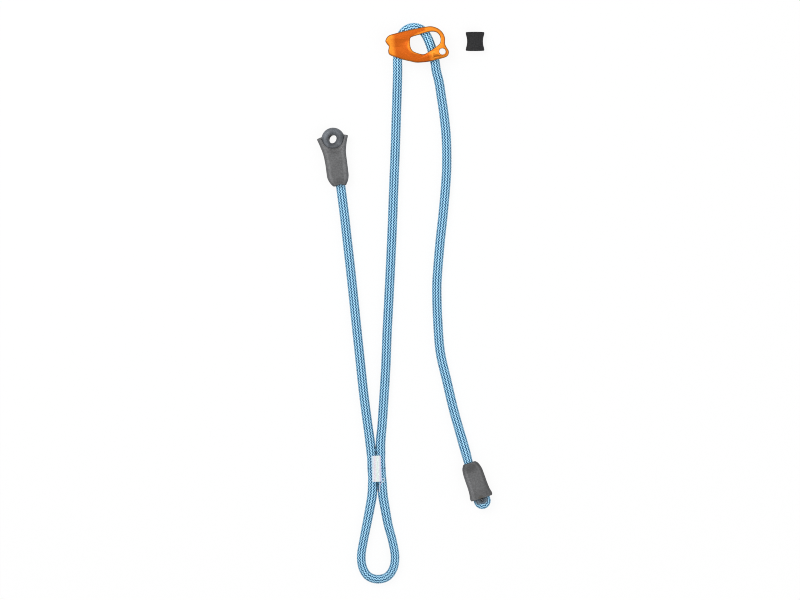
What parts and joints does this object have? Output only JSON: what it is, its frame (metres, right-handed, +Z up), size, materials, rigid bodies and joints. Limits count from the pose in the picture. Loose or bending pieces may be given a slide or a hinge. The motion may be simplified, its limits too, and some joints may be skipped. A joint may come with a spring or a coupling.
{
  "type": "adjustable twin lanyard",
  "caption": "Rope lanyard with a stitched tie-in loop, a fixed arm ending in a sewn eye, and an arm running through a sliding rope adjuster to a sleeved end.",
  "frame": {"origin": "on the floor, under the middle of the box round the rigid pieces as the lanyard lies flat", "axes": "+Z up from the floor, +Y from the tie-in loop towards the adjuster, +X from the fixed end towards the free end"},
  "size_m": [0.1745, 0.5607, 0.0187],
  "materials": {
    "rope": "braided kernmantle rope, light and mid blue",
    "thread": "off-white polyester sewing thread",
    "eye_cover": "moulded, blue grey",
    "sleeve": "matt moulded grey",
    "adjuster_metal": "orange anodised, satin",
    "rivet_steel": "plain",
    "keeper_rubber": "matt black"
  },
  "bodies": {
    "loop_body": {"rope_fixed_arm": "rope", "rope_tie_in_loop": "rope", "rope_adjustable_arm": "rope", "loop_stitching": "thread", "rope_fixed_end_eye": "rope", "fixed_end_eye_cover": "eye_cover", "fixed_end_stitching": "thread"},
    "running_rope": {"rope_bend": "rope", "rope_free_arm": "rope"},
    "adjuster": {"adjuster_front_plate": "adjuster_metal", "adjuster_back_plate": "adjuster_metal", "adjuster_bollard": "adjuster_metal", "adjuster_nose_bar": "adjuster_metal", "adjuster_heel_bar": "adjuster_metal", "adjuster_nose_rivet": "rivet_steel", "adjuster_bollard_rivet": "rivet_steel", "adjuster_heel_rivet": "rivet_steel"},
    "free_end": {"rope_free_end_loop": "rope", "free_end_stitching": "thread"},
    "fixed_sleeve": {"fixed_end_sleeve": "sleeve"},
    "free_sleeve": {"free_end_sleeve": "sleeve"},
    "keeper": {"carabiner_keeper": "keeper_rubber"}
  },
  "joints": [
    {"name": "adjuster_slide", "type": "slide", "parent": "loop_body", "child": "running_rope", "axis": [-0.0404, -0.9992, 0], "range_m": [-0.2, 0.2], "deforming": ["rope_adjustable_arm"]},
    {"name": "adjuster_tilt", "type": "hinge", "parent": "running_rope", "child": "adjuster", "pos_m": [0.009, 0.2245, 0.009], "axis": [0, 0, 1], "range_deg": [-12, 12]},
    {"name": "free_end_slide", "type": "slide", "parent": "running_rope", "child": "free_end", "axis": [0.09, -0.9959, 0], "range_m": [-0.2, 0.2], "deforming": ["rope_free_arm"]},
    {"name": "fixed_sleeve_slide", "type": "slide", "parent": "loop_body", "child": "fixed_sleeve", "axis": [0.1305, -0.9914, 0], "range_m": [0, 0.03]},
    {"name": "free_sleeve_slide", "type": "slide", "parent": "free_end", "child": "free_sleeve", "axis": [-0.309, 0.9511, 0], "range_m": [0, 0.025]},
    {"name": "keeper_lift", "type": "slide", "parent": "loop_body", "child": "keeper", "axis": [0, 0, 1], "range_m": [0, 0.06]}
  ],
  "couplings": [
    {"joint": "free_end_slide", "follows": "adjuster_slide", "ratio": 1}
  ]
}
